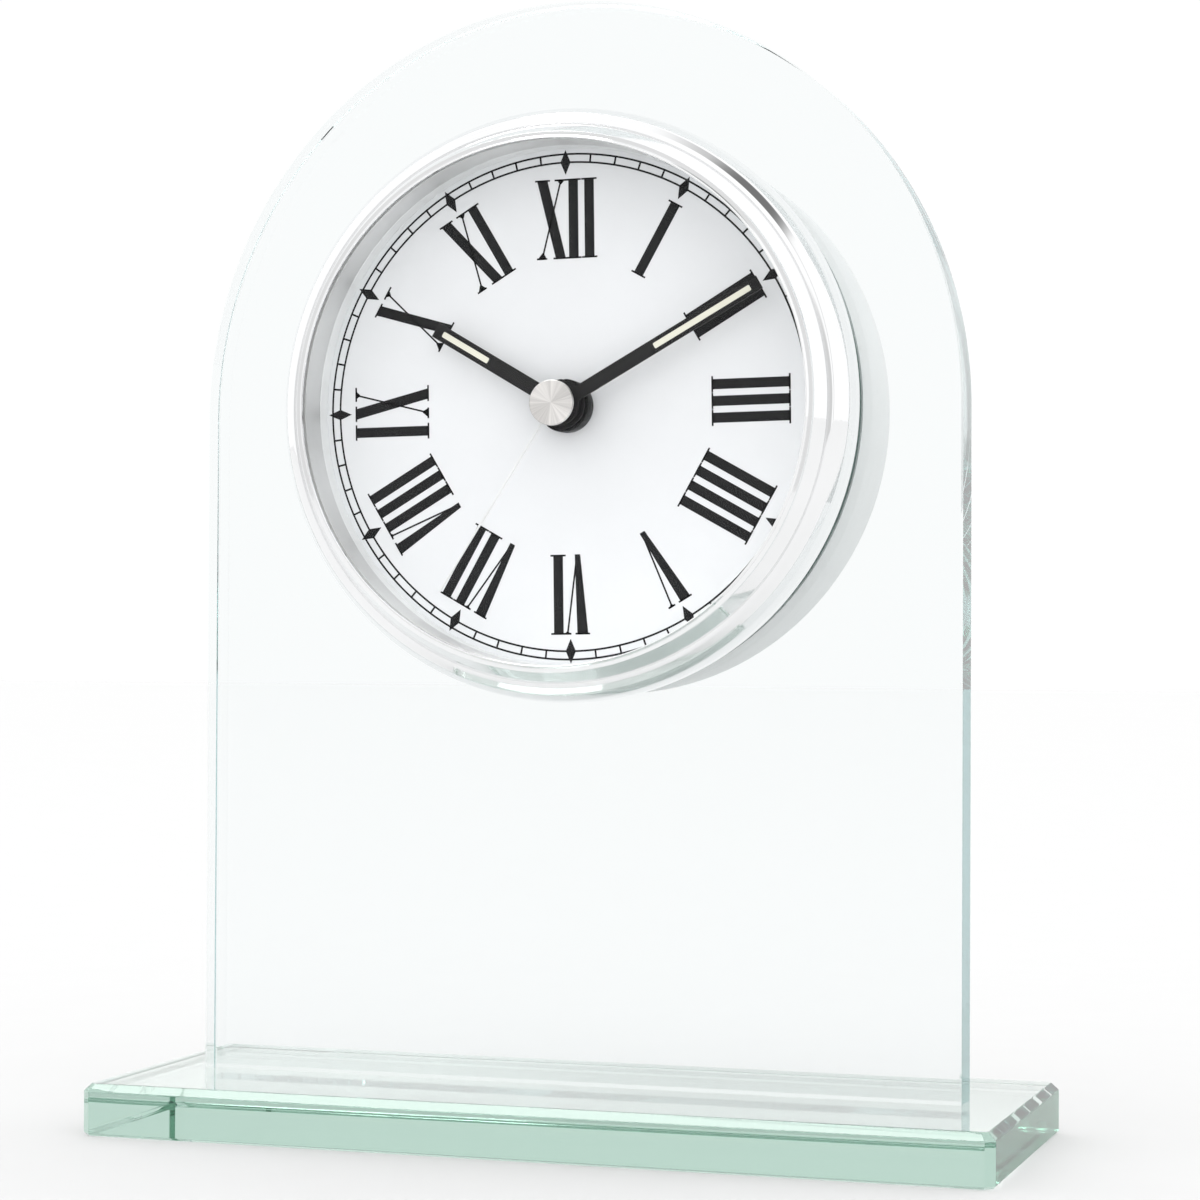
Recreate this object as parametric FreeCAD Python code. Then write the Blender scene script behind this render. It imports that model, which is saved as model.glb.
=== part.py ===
import FreeCAD, Part
import math
import os

V = FreeCAD.Vector

# Glass arch-top mantel clock, in millimetres. +Z is up, the dial faces -Y, and the base rests on Z = 0.
# "Front" and "back" values are places along Y. The dial parts are placed about the dial axis.

# Turns, in degrees
full_turn = 360.0
half_turn = full_turn / 2
quarter_turn = full_turn / 4

# Glass base
base_width = 160.0
base_depth = 66.0
base_height = 9.0
base_top_chamfer = 1.6
base_corner_chamfer = 1.4
base_bottom_chamfer = 0.9

# Glass arch plate
plate_width = 138.5
plate_thickness = 8.0
plate_chamfer = 0.7
arch_rise = 72.0
dial_height = 127.7
arch_centre_drop = 0.7
hole_radius = 49.8
bezel_overlap = 2.0
case_overlap = 1.1

# Rings that keep metal and plastic off the glass
gasket_thickness = 0.5
gasket_width = 1.2
gasket_inset = 0.25

# Bezel
bezel_wall = 5.3
bezel_foot_inset = 0.35
bezel_foot_height = 0.6
bezel_skirt_height = 3.4
bezel_height = 13.1
bead_width = 3.6
bead_height = 9.0
bead_band_heights = (5.6, 7.3, 8.5)
bead_band_insets = (0.28, 1.0, 2.1)
groove_depth = 0.35
groove_width = 0.4
lip_ledge = 1.2
lip_width = 0.7
lip_thickness = 0.5

# Lens, inner rings and dial
lens_thickness = 1.5
lens_gap = 0.15
ring_gap = 0.1
spacer_height = 3.4
dial_thickness = 0.5
dial_front_height = 1.2
dial_gap = 0.15

# Dial carrier, a moulded pan behind the dial
carrier_gap = 0.6
carrier_thickness = 2.2
carrier_pad_gap = 0.2
carrier_skirt_width = 1.6
carrier_skirt_depth = 5.6
carrier_boss_radius = 5.6
carrier_rib_count = 4
carrier_rib_width = 1.2
carrier_rib_depth = 3.6
carrier_rib_turn = 22.5
post_circle_radius = 38.0
post_count = 4
post_radius = 3.4
screw_gap = 0.05

# Bezel screws
bezel_screw_circle_radius = 48.0
bezel_screw_radius = 0.75
bezel_screw_length = 5.5
bezel_screw_head_radius = 1.1
bezel_screw_head_height = 0.9
bezel_screw_count = 4
bezel_screw_turn = 45.0
bezel_screw_room = 0.5

# Rear case
case_taper = 0.3
case_depth = 25.8
case_wall = 1.9
case_back = 2.0
case_edge_depth = 2.4
case_edge_middle_depth = 1.0
case_edge_middle_inset = 0.75

# Case screws
case_screw_radius = 1.15
case_screw_grip = 13.0
case_screw_bite = 5.5
case_screw_head_radius = 2.4
case_screw_head_height = 1.8
case_screw_head_room = 0.45
case_screw_hole_gap = 0.35
pilot_spare = 1.0

# Movement housing
movement_size = 58.0
movement_corner = 4.0
movement_front_wall = 1.6
movement_wall = 1.4
movement_back_wall = 1.6
movement_depth = 16.6
movement_split_depth = 6.7
rubber_thickness = 0.6
rubber_radius = 6.6

# Threaded bush, nut and washer on the dial
bush_radius = 3.2
bush_bore = 2.2
bush_reach = 3.2
washer_thickness = 0.4
washer_radius = 4.65
nut_height = 2.6
nut_radius = 4.65
nut_flute_count = 8
nut_flute_radius = 0.3
bush_gap = 0.1

# Hand arbors
running_gap = 0.08
second_arbor_radius = 0.5
minute_pipe_wall = 0.7
hour_pipe_wall = 0.6

# Wheels and pinions: each layer is a slice along Y, counted from the movement's front wall
layer_thickness = 1.0
layer_gap = 0.4
bridge_thickness = 0.8
bridge_post_radius = 1.6
bridge_post_inset = 3.6
bridge_post_lift = 3.0
addendum_share = 0.75
dedendum_share = 1.15
tip_width_share = 0.17
root_width_share = 0.50
third_axis_radius = 10.8
motion_axis_radius = 12.0
middle_axis_radius = 11.2
rotor_axis_radius = 9.6
seconds_pinion_teeth = 6
third_wheel_teeth = 48
third_pinion_teeth = 6
centre_wheel_teeth = 45
seconds_wheel_teeth = 48
middle_pinion_teeth = 8
middle_wheel_teeth = 40
rotor_pinion_teeth = 8
cannon_teeth = 12
motion_wheel_teeth = 36
motion_pinion_teeth = 10
hour_wheel_teeth = 40
setting_teeth = 12
third_angle = 160.0
middle_angle_back = 85.0
rotor_angle_on = 75.0
motion_angle = 15.0
setting_angle = 50.0
arbor_radius = 0.7
pivot_depth = 0.9
hub_radius = 1.6

# Stepping motor
magnet_radius = 2.4
magnet_length = 1.5
stator_thickness = 0.8
stator_air_gap = 0.5
stator_ring_width = 1.6
stator_bar_width = 3.0
stator_left_length = 12.0
stator_right_length = 18.0
stator_post_radius = 1.1
coil_edge_gap = 4.0
coil_radius = 2.1
coil_flange_radius = 2.35
coil_flange_thickness = 0.8
coil_core_width = 1.6
coil_clearance = 0.1

# Circuit board and crystal
board_width = 10.5
board_length = 16.0
board_thickness = 0.9
board_edge_gap = 0.6
chip_radius = 2.2
chip_height = 0.9
crystal_radius = 1.0
crystal_length = 6.0
crystal_gap = 0.05

# Battery and its bay
battery_radius = 7.15
battery_length = 49.2
battery_nub_radius = 2.7
battery_nub_length = 1.2
battery_drop = 18.8
battery_front_gap = 0.3
bay_gap = 0.25
bay_wall = 0.9
contact_thickness = 0.4
contact_width = 9.0
contact_height = 11.0
contact_touch_gap = 0.1
contact_dome_radius = 2.6

# Battery door in the case back
door_length = 56.0
door_width = 19.0
door_thickness = 1.2
door_gap = 0.25
door_travel = 9.0
door_ledge = 1.6
door_grip_count = 5
door_grip_pitch = 1.8
door_grip_width = 0.8
door_grip_length = 9.0
door_grip_height = 0.5
door_grip_inset = 5.0

# Setting knob
knob_radius = 5.4
knob_height = 3.6
knob_proud = 1.6
knob_gap = 0.7
knob_flute_count = 12
knob_flute_radius = 0.6
setting_arbor_radius = 1.5

# Hands, each on its own height above the dial
hand_thickness = 0.5
hour_hand_height = 3.7
hour_hand_length = 27.0
hour_hand_angle = 300.5
hour_hand_width = 2.7
hour_boss_radius = 4.2
hour_inlay_start = 15.6
hour_inlay_end = 25.4
minute_hand_height = 4.95
minute_hand_length = 40.9
minute_hand_angle = 60.5
minute_hand_width = 2.45
minute_boss_radius = 3.6
minute_inlay_start = 19.6
minute_inlay_end = 39.1
inlay_width = 1.05
pipe_proud = 0.3
second_hand_height = 8.4
second_hand_length = 38.6
second_hand_angle = 212.4
second_hand_width = 0.45
second_hand_thickness = 0.3
second_collar_radius = 1.3
second_collar_ahead = 0.8
second_collar_behind = 1.0
arbor_spare = 0.1
cap_radius = 3.95
cap_thickness = 0.8
cap_edge = 0.2

# Overrun for cuts that pass right through
overrun = 1.0

# Angles of the middle wheel and the rotor, which follow the third wheel's
middle_angle = third_angle - middle_angle_back
rotor_angle = middle_angle + rotor_angle_on

# Radii that follow the plate's hole
bezel_radius = hole_radius + bezel_overlap
case_radius = hole_radius + case_overlap
carrier_radius = hole_radius - carrier_gap
bead_inner_radius = bezel_radius - bead_width
seat_radius = bezel_radius - bezel_wall
lip_radius = seat_radius - lip_ledge

# Places along Y, worked out from the sizes above
plate_front = -plate_thickness / 2
plate_back = plate_thickness / 2
bezel_back = plate_front - gasket_thickness
dial_front = plate_front - dial_front_height
dial_back = dial_front + dial_thickness
bezel_front = bezel_back - bezel_height
lens_front = bezel_front + lip_thickness
lens_back = lens_front + lens_thickness
spacer_front = dial_front - spacer_height
carrier_back = bezel_back + carrier_thickness
boss_back = plate_back + overrun
movement_front = boss_back + rubber_thickness
movement_inside = movement_front + movement_front_wall
case_front = plate_back + gasket_thickness
case_rear = case_front + case_depth
case_inside = case_rear - case_back
movement_rear = movement_front + movement_depth
movement_back_inside = movement_rear - movement_back_wall
movement_seam = movement_front + movement_split_depth
movement_half = movement_size / 2
movement_cavity = movement_half - movement_wall
coil_height = movement_cavity - coil_edge_gap
washer_front = dial_front - washer_thickness
nut_front = washer_front - nut_height
bush_front = dial_front - bush_reach

# Radii of the nested hand arbors
minute_pipe_bore = second_arbor_radius + running_gap
minute_pipe_radius = minute_pipe_bore + minute_pipe_wall
hour_pipe_bore = minute_pipe_radius + running_gap
hour_pipe_radius = hour_pipe_bore + hour_pipe_wall


def layer(number):
    return movement_inside + layer_gap + number * (layer_thickness + layer_gap)


# Layers 0 to 2 lie in front of the bridge and layers 3 to 5 behind it
def back_layer(number):
    return bridge_back + layer_gap + number * (layer_thickness + layer_gap)


bridge_front = layer(3)
bridge_back = bridge_front + bridge_thickness


def place(x, y, z):
    return V(x, y, dial_height + z)


def disc(radius, front, back, x=0, z=0):
    return Part.makeCylinder(radius, back - front, place(x, front, z), V(0, 1, 0))


def tube(outer, inner, front, back, x=0, z=0):
    return disc(outer, front, back, x, z).cut(disc(inner, front - overrun, back + overrun, x, z))


def block(x0, x1, y0, y1, z0, z1):
    return Part.makeBox(x1 - x0, y1 - y0, z1 - z0, place(x0, y0, z0))


def rounded_block(half, corner, front, back):
    square = block(-half, half, front, back, -half, half)
    edges = [e for e in square.Edges if abs(e.tangentAt(e.FirstParameter).y) > 0.5]
    return square.makeFillet(corner, edges)


def polar(radius, angle):
    turn = math.radians(angle)
    return radius * math.cos(turn), radius * math.sin(turn)


def clock_point(radius, angle):
    # A clock angle runs clockwise from twelve
    return polar(radius, quarter_turn - angle)


def spin(shape, angle):
    # Clockwise as seen from the front
    turned = shape.copy()
    turned.rotate(place(0, 0, 0), V(0, 1, 0), angle)
    return turned


def revolve(edges):
    face = Part.Face(Part.Wire(Part.__sortEdges__(edges)))
    solid = face.revolve(place(0, 0, 0), V(0, 1, 0), full_turn)
    if solid.Volume < 0:
        solid.reverse()
    return solid


def profile(points):
    # Straight edges between (radius, y) points
    corners = [place(r, y, 0) for r, y in points]
    return [Part.LineSegment(a, b).toShape() for a, b in zip(corners, corners[1:])]


def fused(shapes):
    whole = shapes[0].multiFuse(shapes[1:])
    return whole.removeSplitter()


def cut_all(shape, tools):
    for tool in tools:
        shape = shape.cut(tool)
    return shape


# Glass slab with polished bevels
def make_glass_base():
    half_w = base_width / 2
    half_d = base_depth / 2
    slab = Part.makeBox(base_width, base_depth, base_height, V(-half_w, -half_d, 0))
    upright = [e for e in slab.Edges if abs(e.tangentAt(e.FirstParameter).z) > 0.5]
    slab = slab.makeChamfer(base_corner_chamfer, upright)
    top = [e for e in slab.Edges if e.BoundBox.ZMin > base_height / 2]
    slab = slab.makeChamfer(base_top_chamfer, top)
    bottom = [e for e in slab.Edges if e.BoundBox.ZMax < base_height / 4]
    return slab.makeChamfer(base_bottom_chamfer, bottom)


def arch_outline(y):
    half = plate_width / 2
    spring = dial_height - arch_centre_drop
    centre = V(0, y, spring)
    side = V(half, y, spring)
    top = V(0, y, spring + arch_rise)
    if arch_rise > half:
        curve = Part.Ellipse(top, side, centre)
        crown = Part.ArcOfEllipse(curve, -math.pi / 2, math.pi / 2)
    else:
        curve = Part.Ellipse(side, top, centre)
        crown = Part.ArcOfEllipse(curve, 0, math.pi)
    left_foot = V(-half, y, base_height)
    right_foot = V(half, y, base_height)
    left_side = V(-half, y, spring)
    lines = [Part.LineSegment(left_foot, right_foot), Part.LineSegment(right_foot, side)]
    lines.append(Part.LineSegment(left_side, left_foot))
    edges = [line.toShape() for line in lines] + [crown.toShape()]
    return Part.Wire(Part.__sortEdges__(edges))


# Glass plate bonded upright on the base, with the round hole for the clock
def make_glass_arch():
    plate = Part.Face(arch_outline(plate_front)).extrude(V(0, plate_thickness, 0))
    outline = []
    for edge in plate.Edges:
        box = edge.BoundBox
        on_face = box.YLength < plate_thickness / 2
        if on_face and box.ZMax > base_height + plate_chamfer:
            outline.append(edge)
    plate = plate.makeChamfer(plate_chamfer, outline)
    return plate.cut(disc(hole_radius, plate_front - overrun, plate_back + overrun))


def make_front_gasket():
    outer = bezel_radius - bezel_foot_inset - gasket_inset
    return tube(outer, outer - gasket_width, bezel_back, plate_front)


def make_rear_gasket():
    outer = case_radius - gasket_inset
    return tube(outer, outer - gasket_width, plate_back, case_front)


# Chromed ring: skirt, rounded bead, groove, and a steeper collar that rises to the lip over the lens
def make_bezel():
    foot = bezel_radius - bezel_foot_inset
    skirt = bezel_back - bezel_skirt_height
    bead = bezel_back - bead_height
    groove_floor = bead + groove_depth
    groove_inner = bead_inner_radius - groove_width
    lip_outer = lip_radius + lip_width
    points = [(seat_radius, bezel_back), (foot, bezel_back), (bezel_radius, bezel_back - bezel_foot_height)]
    points.append((bezel_radius, skirt))
    for height, inset in zip(bead_band_heights, bead_band_insets):
        points.append((bezel_radius - inset, bezel_back - height))
    points += [(bead_inner_radius, bead), (bead_inner_radius, groove_floor), (groove_inner, groove_floor)]
    points += [(groove_inner, bead), (lip_outer, bezel_front), (lip_radius, bezel_front)]
    points += [(lip_radius, lens_front), (seat_radius, lens_front), (seat_radius, bezel_back)]
    ring = revolve(profile(points))
    holes = []
    for x, z in bezel_screw_places():
        depth = bezel_back - bezel_screw_length
        holes.append(disc(bezel_screw_radius + screw_gap, depth, bezel_back + overrun, x, z))
    return cut_all(ring, holes)


def make_lens():
    return disc(seat_radius - lens_gap, lens_front, lens_back)


def make_inner_ring():
    return tube(seat_radius - ring_gap, lip_radius, lens_back, spacer_front)


def make_dial_spacer():
    return tube(seat_radius - ring_gap, lip_radius, spacer_front, dial_front)


def make_dial():
    return tube(seat_radius - dial_gap, bush_radius + bush_gap, dial_front, dial_back)


def bezel_screw_places():
    turns = [bezel_screw_turn + full_turn * n / bezel_screw_count for n in range(bezel_screw_count)]
    return [polar(bezel_screw_circle_radius, turn) for turn in turns]


def post_places():
    return [polar(post_circle_radius, full_turn * n / post_count) for n in range(post_count)]


# Moulded pan: flange under the bezel, ribs, a boss for the bush and four posts for the case screws
def make_dial_carrier():
    post_end = case_front + gasket_thickness * 2
    parts = [disc(carrier_radius, bezel_back, carrier_back)]
    parts.append(disc(seat_radius - carrier_pad_gap, dial_back, bezel_back + carrier_thickness / 2))
    skirt_inner = carrier_radius - carrier_skirt_width
    parts.append(tube(carrier_radius, skirt_inner, bezel_back, carrier_back + carrier_skirt_depth))
    parts.append(disc(carrier_boss_radius, bezel_back, boss_back))
    for n in range(carrier_rib_count):
        reach = skirt_inner + carrier_skirt_width / 2
        half_rib = carrier_rib_width / 2
        rib = block(0, reach, bezel_back, carrier_back + carrier_rib_depth, -half_rib, half_rib)
        parts.append(spin(rib, carrier_rib_turn + full_turn * n / carrier_rib_count))
    for x, z in post_places():
        parts.append(disc(post_radius, bezel_back, post_end, x, z))
    pan = fused(parts)
    cuts = [disc(bush_radius + bush_gap, dial_front - overrun, boss_back + overrun)]
    for x, z in post_places():
        depth = post_end - case_screw_bite - pilot_spare
        cuts.append(disc(case_screw_radius + screw_gap, depth, post_end + overrun, x, z))
    for x, z in bezel_screw_places():
        room = bezel_screw_head_radius + bezel_screw_room
        cuts.append(disc(bezel_screw_radius + screw_gap, bezel_back - overrun, carrier_back + overrun, x, z))
        cuts.append(disc(room, carrier_back, carrier_back + carrier_skirt_depth + overrun, x, z))
    return cut_all(pan, cuts)


def make_bezel_screws():
    screws = []
    for x, z in bezel_screw_places():
        tip = carrier_back - bezel_screw_length
        head = disc(bezel_screw_head_radius, carrier_back, carrier_back + bezel_screw_head_height, x, z)
        screws.append(head.fuse(disc(bezel_screw_radius, tip, carrier_back, x, z)))
    return Part.makeCompound(screws)


def case_post_front():
    return case_front + gasket_thickness * 2


def case_screw_seat():
    return case_post_front() + case_screw_grip


# Round rear cover with four screw tubes, a window and track for the battery door, and the knob's hole
def make_rear_case():
    rim = case_radius
    end = case_radius - case_taper
    points = [(rim - case_wall, case_front), (rim, case_front), (end, case_rear - case_edge_depth)]
    points.append((end - case_edge_middle_inset, case_rear - case_edge_middle_depth))
    points += [(end - case_edge_depth, case_rear), (0, case_rear), (0, case_inside)]
    points += [(end - case_wall, case_inside), (rim - case_wall, case_front)]
    shell = revolve(profile(points))
    tube_end = case_inside + case_back / 2
    tubes = [disc(post_radius, case_post_front(), tube_end, x, z) for x, z in post_places()]
    shell = fused([shell] + tubes)
    cuts = []
    for x, z in post_places():
        hole = case_screw_radius + case_screw_hole_gap
        head_room = case_screw_head_radius + case_screw_head_room
        cuts.append(disc(hole, case_post_front() - overrun, case_screw_seat() + overrun, x, z))
        cuts.append(disc(head_room, case_screw_seat(), case_rear + overrun, x, z))
    door_front = case_rear - door_thickness - door_gap
    half_l = door_length / 2 + door_gap
    half_w = door_width / 2 + door_gap
    cuts.append(block(-half_l, half_l + door_travel, door_front, case_rear + overrun,
                      -battery_drop - half_w, -battery_drop + half_w))
    window_l = half_l - door_ledge
    window_w = half_w - door_ledge
    cuts.append(block(-window_l, window_l, case_inside - overrun, case_rear + overrun,
                      -battery_drop - window_w, -battery_drop + window_w))
    knob_x, knob_z = setting_place
    cuts.append(disc(knob_radius + knob_gap, case_inside - overrun, case_rear + overrun, knob_x, knob_z))
    return cut_all(shell, cuts)


def make_case_screws():
    screws = []
    for x, z in post_places():
        seat = case_screw_seat()
        tip = case_post_front() - case_screw_bite
        head = disc(case_screw_head_radius, seat, seat + case_screw_head_height, x, z)
        screws.append(head.fuse(disc(case_screw_radius, tip, seat, x, z)))
    return Part.makeCompound(screws)


# Sliding door with a ribbed thumb grip, flush in the case back
def make_battery_door():
    half_l = door_length / 2
    half_w = door_width / 2
    back = case_rear
    low = -battery_drop - half_w
    high = -battery_drop + half_w
    plate = block(-half_l, half_l, back - door_thickness, back, low, high)
    grips = []
    for n in range(door_grip_count):
        x = -half_l + door_grip_inset + n * door_grip_pitch
        half_g = door_grip_length / 2
        grips.append(block(x, x + door_grip_width, back - door_thickness / 2, back + door_grip_height,
                           -battery_drop - half_g, -battery_drop + half_g))
    return fused([plate] + grips)


# Places of the wheels about the hand axis
def offset_place(origin, distance, direction):
    dx, dz = polar(distance, direction)
    return origin[0] + dx, origin[1] + dz


def module_for(axis_distance, teeth_a, teeth_b):
    return 2 * axis_distance / (teeth_a + teeth_b)


third_module = module_for(third_axis_radius, seconds_pinion_teeth, third_wheel_teeth)
centre_module = module_for(third_axis_radius, third_pinion_teeth, centre_wheel_teeth)
motion_module = module_for(motion_axis_radius, cannon_teeth, motion_wheel_teeth)
hour_module = module_for(motion_axis_radius, motion_pinion_teeth, hour_wheel_teeth)
middle_module = module_for(middle_axis_radius, middle_pinion_teeth, seconds_wheel_teeth)
rotor_module = module_for(rotor_axis_radius, rotor_pinion_teeth, middle_wheel_teeth)
setting_distance = motion_module * (motion_wheel_teeth + setting_teeth) / 2
hand_axis = (0, 0)
third_place = offset_place(hand_axis, third_axis_radius, third_angle)
middle_place = offset_place(hand_axis, middle_axis_radius, middle_angle)
rotor_place = offset_place(middle_place, rotor_axis_radius, rotor_angle)
motion_place = offset_place(hand_axis, motion_axis_radius, motion_angle)
setting_place = offset_place(motion_place, setting_distance, setting_angle)


# A gear that meets another: the teeth of one stand in the gaps of the other
def meshed_phase(direction, teeth, phase, mate_teeth):
    fraction = (direction - phase) * teeth / full_turn
    return direction + half_turn - (0.5 - fraction) * full_turn / mate_teeth


def gear(teeth, module, phase, front, centre):
    pitch_radius = module * teeth / 2
    root = pitch_radius - dedendum_share * module
    tip = pitch_radius + addendum_share * module
    step = full_turn / teeth
    corners = []
    for n in range(teeth):
        middle = phase + n * step
        for radius, half_share in ((root, -root_width_share), (tip, -tip_width_share),
                                   (tip, tip_width_share), (root, root_width_share)):
            dx, dz = polar(radius, middle + half_share * step / 2)
            corners.append(place(centre[0] + dx, front, centre[1] + dz))
    corners.append(corners[0])
    return Part.Face(Part.makePolygon(corners)).extrude(V(0, layer_thickness, 0))


# The way back from a wheel to the one before it
third_back = third_angle + half_turn
middle_back = middle_angle + half_turn
rotor_back = rotor_angle + half_turn
motion_back = motion_angle + half_turn
third_phase = meshed_phase(third_angle, seconds_pinion_teeth, third_angle, third_wheel_teeth)
centre_phase = meshed_phase(third_back, third_pinion_teeth, third_back, centre_wheel_teeth)
seconds_wheel_phase = meshed_phase(middle_back, middle_pinion_teeth, middle_back, seconds_wheel_teeth)
middle_phase = meshed_phase(rotor_back, rotor_pinion_teeth, rotor_back, middle_wheel_teeth)
motion_phase = meshed_phase(motion_angle, cannon_teeth, motion_angle, motion_wheel_teeth)
setting_phase = meshed_phase(setting_angle, motion_wheel_teeth, motion_phase, setting_teeth)
hour_phase = meshed_phase(motion_back, motion_pinion_teeth, motion_back, hour_wheel_teeth)


def drill(shape, radius, front, back, centre=(0, 0)):
    return shape.cut(disc(radius, front - overrun, back + overrun, *centre))


# Hour wheel: its pipe runs through the bush to the hour hand
def make_hour_wheel():
    front = layer(0)
    wheel = gear(hour_wheel_teeth, hour_module, hour_phase, front, hand_axis)
    pipe_front = dial_front - hour_hand_height - hand_thickness - pipe_proud
    pipe = disc(hour_pipe_radius, pipe_front, front + layer_thickness)
    return drill(wheel.fuse(pipe), hour_pipe_bore, pipe_front, front + layer_thickness)


def make_minute_pipe():
    front = layer(1)
    pinion = gear(cannon_teeth, motion_module, motion_angle, front, hand_axis)
    pipe_front = dial_front - minute_hand_height - hand_thickness - pipe_proud
    pipe_back = layer(2) + layer_thickness
    body = pinion.fuse(disc(minute_pipe_radius, pipe_front, pipe_back))
    return drill(body, minute_pipe_bore, pipe_front, pipe_back)


# Centre wheel: grips the minute pipe by friction, so the hands can be set while the train stands
def make_centre_wheel():
    front = layer(2)
    wheel = gear(centre_wheel_teeth, centre_module, centre_phase, front, hand_axis)
    return drill(wheel, minute_pipe_radius + running_gap, front, front + layer_thickness)


def make_third_wheel():
    pinion = gear(third_pinion_teeth, centre_module, third_back, layer(2), third_place)
    wheel = gear(third_wheel_teeth, third_module, third_phase, back_layer(0), third_place)
    start = movement_inside - pivot_depth
    arbor = disc(arbor_radius, start, arbor_end(), *third_place)
    return fused([pinion, wheel, arbor])


def arbor_end():
    return back_layer(2) + layer_thickness + pivot_depth * 2


# Seconds wheel: its long arbor carries the second hand
def make_seconds_wheel():
    pinion = gear(seconds_pinion_teeth, third_module, third_angle, back_layer(0), hand_axis)
    wheel = gear(seconds_wheel_teeth, middle_module, seconds_wheel_phase, back_layer(1), hand_axis)
    tip = dial_front - second_hand_height - second_collar_ahead + arbor_spare
    arbor = disc(second_arbor_radius, tip, arbor_end())
    return fused([pinion, wheel, arbor])


def make_middle_wheel():
    pinion = gear(middle_pinion_teeth, middle_module, middle_back, back_layer(1), middle_place)
    wheel = gear(middle_wheel_teeth, rotor_module, middle_phase, back_layer(2), middle_place)
    arbor = disc(arbor_radius, bridge_front + layer_gap / 2, arbor_end(), *middle_place)
    return fused([pinion, wheel, arbor])


def make_rotor():
    front = back_layer(2)
    pinion = gear(rotor_pinion_teeth, rotor_module, rotor_back, front, rotor_place)
    magnet_front = front + layer_thickness + layer_gap / 2
    magnet = disc(magnet_radius, magnet_front, magnet_front + magnet_length, *rotor_place)
    arbor_back = magnet_front + magnet_length + pivot_depth
    arbor = disc(arbor_radius, bridge_front + layer_gap / 2, arbor_back, *rotor_place)
    return fused([pinion, magnet, arbor])


def make_motion_wheel():
    wheel = gear(motion_wheel_teeth, motion_module, motion_phase, layer(1), motion_place)
    pinion = gear(motion_pinion_teeth, hour_module, motion_back, layer(0), motion_place)
    sleeve = disc(hub_radius, layer(0), layer(1) + layer_thickness, *motion_place)
    arbor = disc(arbor_radius, movement_inside - pivot_depth, bridge_front + layer_gap / 2, *motion_place)
    return fused([wheel, pinion, sleeve, arbor])


# Setting arbor: the knob at the back turns the motion wheel, and with it both main hands
def make_setting_arbor():
    pinion = gear(setting_teeth, motion_module, setting_phase, layer(1), setting_place)
    shaft = disc(setting_arbor_radius, layer(1), knob_front(), *setting_place)
    pivot = disc(arbor_radius, movement_inside - pivot_depth, layer(1), *setting_place)
    return fused([pinion, shaft, pivot])


def knob_front():
    return case_rear + knob_proud - knob_height


def make_setting_knob():
    back = case_rear + knob_proud
    x, z = setting_place
    knob = disc(knob_radius, knob_front(), back, x, z)
    flutes = []
    for n in range(knob_flute_count):
        dx, dz = polar(knob_radius, full_turn * n / knob_flute_count)
        flutes.append(disc(knob_flute_radius, knob_front() - overrun, back + overrun, x + dx, z + dz))
    return cut_all(knob, flutes)


def bay_box(gap):
    top = -battery_drop + battery_radius + bay_gap + gap
    bottom = -battery_drop - battery_radius - bay_gap - gap
    half = movement_cavity
    return block(-half, half, movement_inside, movement_rear + overrun, bottom, top)


# Front half of the movement with the threaded bush and the pivot holes
def make_movement_front():
    box = rounded_block(movement_half, movement_corner, movement_front, movement_seam)
    inner_corner = movement_corner - movement_wall
    hollow = rounded_block(movement_cavity, inner_corner, movement_inside, movement_seam + overrun)
    shell = box.cut(hollow).fuse(disc(bush_radius, bush_front, movement_inside))
    for x, z in bridge_post_places():
        shell = shell.fuse(disc(bridge_post_radius, movement_inside - overrun / 2, bridge_front, x, z))
    shell = drill(shell, bush_bore, bush_front, movement_inside)
    pivots = [third_place, motion_place, setting_place]
    holes = [disc(arbor_radius + running_gap, movement_inside - pivot_depth - running_gap,
                  movement_inside + overrun, *p) for p in pivots]
    return cut_all(shell, holes)


def bridge_floor():
    return -battery_drop + battery_radius + bay_gap + bay_wall + bay_gap


def bridge_post_places():
    reach = movement_cavity - bridge_post_inset
    low = bridge_floor() + bridge_post_lift
    return [(-reach, low), (reach, low), (-reach, reach), (reach, reach)]


# Bridge between the motion work and the train, resting on four posts
def make_bridge():
    edge = movement_cavity - bay_gap
    plate = rounded_block(edge, movement_corner - movement_wall, bridge_front, bridge_back)
    plate = plate.cut(block(-edge - overrun, edge + overrun, bridge_front - overrun, bridge_back + overrun,
                            -edge - overrun, bridge_floor()))
    clear = third_pinion_teeth * centre_module / 2 + centre_module + bay_gap
    holes = [disc(second_arbor_radius + running_gap, bridge_front - overrun, bridge_back + overrun)]
    holes.append(disc(clear, bridge_front - overrun, bridge_back + overrun, *third_place))
    shaft = setting_arbor_radius + running_gap
    holes.append(disc(shaft, bridge_front - overrun, bridge_back + overrun, *setting_place))
    for centre in (middle_place, rotor_place):
        holes.append(disc(arbor_radius + running_gap, bridge_front - overrun, bridge_back + overrun, *centre))
    blind_end = bridge_back - layer_gap
    holes.append(disc(arbor_radius + running_gap, bridge_front - overrun, blind_end, *motion_place))
    return cut_all(plate, holes)


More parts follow.
